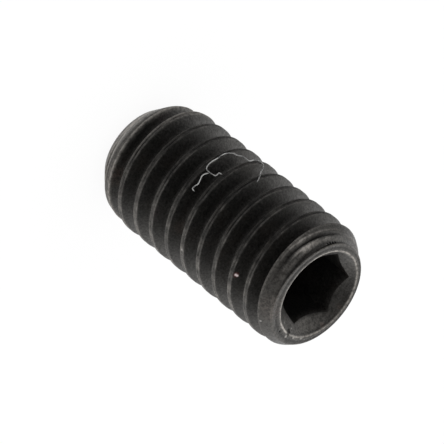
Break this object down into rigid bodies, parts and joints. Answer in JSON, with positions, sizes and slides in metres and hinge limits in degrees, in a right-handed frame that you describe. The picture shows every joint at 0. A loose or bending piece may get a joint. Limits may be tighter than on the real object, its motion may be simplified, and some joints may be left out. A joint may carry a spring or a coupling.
{
  "type": "grub set screw",
  "caption": "Headless hexagon socket set screw: a fully threaded metric rod with a countersunk socket at one end and a flat, chamfered point at the other.",
  "frame": {"origin": "centre of the point end's flat, on the screw's axis", "axes": "+Z along the axis from the point end to the socket end; -Y faces the side that the picture shows"},
  "size_m": [0.004, 0.004, 0.0079],
  "materials": {
    "black_oxide_steel": "black oxide, satin, with lighter worn crests and edges"
  },
  "bodies": {
    "root": {"set_screw": "black_oxide_steel"}
  },
  "joints": []
}
